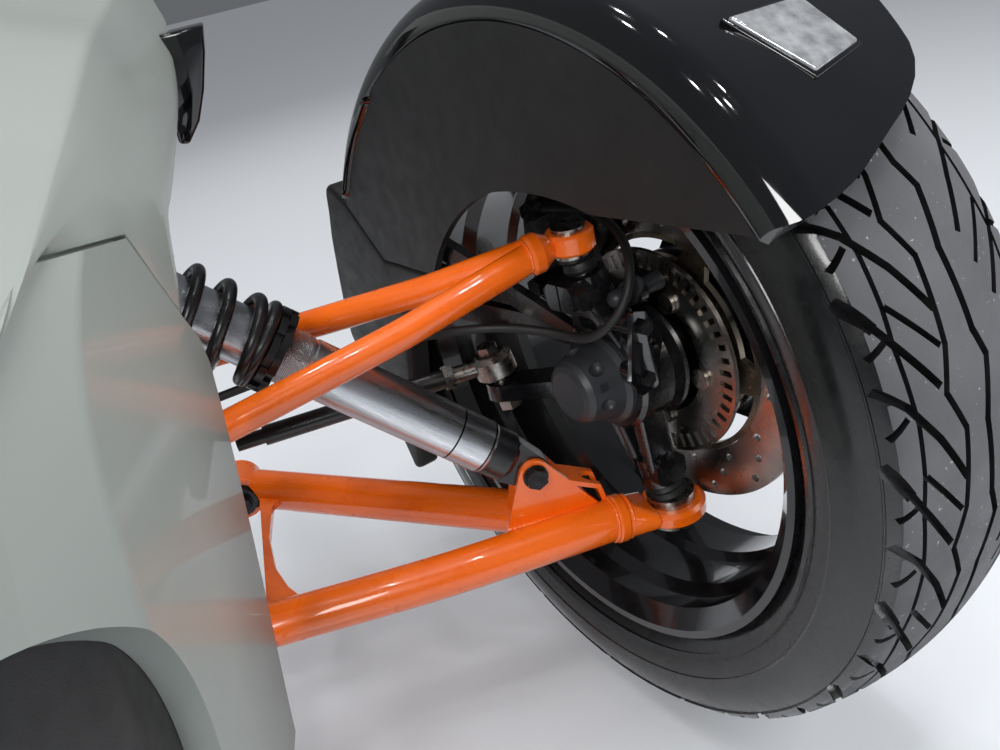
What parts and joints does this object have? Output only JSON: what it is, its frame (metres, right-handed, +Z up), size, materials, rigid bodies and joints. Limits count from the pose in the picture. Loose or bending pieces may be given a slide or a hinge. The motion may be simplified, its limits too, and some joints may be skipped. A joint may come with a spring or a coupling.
{
  "type": "motorized trike front wheel and suspension corner",
  "caption": "Front wheel corner of a three-wheeled motorcycle: arms, coil-over shock, steering knuckle, wheel, brake disc, fender and body panel on a bolt-on frame section.",
  "frame": {"origin": "middle of the four frame bolts, on the face that bolts to the vehicle", "axes": "+X outboard, +Y towards the rear of the vehicle, +Z up"},
  "size_m": [0.5923, 0.7, 0.6622],
  "materials": {
    "orange_paint": "gloss",
    "frame_black": "satin",
    "body_grey": "gloss",
    "gloss_black": "gloss",
    "matte_black": "matt",
    "wheel_black": "gloss",
    "cast_black": "gloss",
    "cap_black": "satin",
    "spring_black": "satin",
    "shock_alloy": "machined",
    "bare_steel": "plated",
    "zinc_steel": "plated",
    "bolt_black": "black oxide",
    "bush_rubber": "matt",
    "tyre": "matt",
    "lamp": "gloss"
  },
  "bodies": {
    "frame": {"frame_lower_rail": "frame_black", "frame_upper_rail": "frame_black", "frame_front_post": "frame_black", "frame_rear_post": "frame_black", "shock_tower": "orange_paint", "side_panel": "body_grey", "nose_inner": "matte_black", "upper_panel": "body_grey", "panel_stays": "frame_black", "top_stay": "frame_black", "lower_arm": "orange_paint", "upper_arm": "orange_paint", "lower_arm_bushes": "bush_rubber", "upper_arm_bushes": "bush_rubber", "lower_pivot_bolts": "bolt_black", "upper_pivot_bolts": "bolt_black", "lower_ball_housing": "bare_steel", "upper_ball_housing": "bare_steel", "ball_boots": "bush_rubber", "shock_body": "shock_alloy", "shock_foot": "spring_black", "shock_collars": "spring_black", "shock_spring": "spring_black", "shock_top": "shock_alloy", "shock_bolts": "bolt_black", "brake_hose": "bush_rubber", "hose_end": "bolt_black"},
    "knuckle": {"knuckle": "cast_black", "wheel_bearing": "bare_steel", "hub_cap": "cap_black", "lower_ball_pin": "bare_steel", "upper_ball_pin": "bare_steel", "pinch_bolts": "bolt_black", "sensor_plate": "gloss_black", "plate_screws": "bolt_black", "wheel_sensor": "cap_black", "caliper": "cast_black", "brake_pads": "bolt_black", "caliper_bolts": "bolt_black", "hose_banjo": "bolt_black", "tie_rod_pin": "bare_steel", "tie_boot": "bush_rubber", "fender_shell": "gloss_black", "fender_inner": "matte_black", "fender_flap": "matte_black", "fender_bracket": "cast_black", "fender_lamp": "lamp"},
    "wheel": {"tyre": "tyre", "rim": "wheel_black", "hub": "bare_steel", "wheel_studs": "bare_steel", "centre_cap": "wheel_black", "tone_ring": "bare_steel", "brake_disc": "bare_steel", "disc_carrier": "zinc_steel"},
    "tie_rod": {"tie_rod": "spring_black", "tie_rod_nut": "bare_steel", "tie_rod_end": "bare_steel"}
  },
  "joints": [
    {"name": "steer", "type": "hinge", "parent": "frame", "child": "knuckle", "pos_m": [0.4145, -0.0885, -0.155], "axis": [-0.1623, 0.0862, 0.983], "range_deg": [-50, 6], "deforming": ["brake_hose"]},
    {"name": "wheel_spin", "type": "hinge", "parent": "knuckle", "child": "wheel", "pos_m": [0.41721, -0.06559, -0.03129], "axis": [0.9291, 0.3672, -0.0439], "continuous": true},
    {"name": "tie_rod_pivot", "type": "hinge", "parent": "knuckle", "child": "tie_rod", "pos_m": [0.31017, -0.00747, -0.02835], "axis": [-0.1623, 0.0862, 0.983], "range_deg": [-6, 50]}
  ],
  "couplings": [
    {"joint": "tie_rod_pivot", "follows": "steer", "ratio": -1}
  ]
}
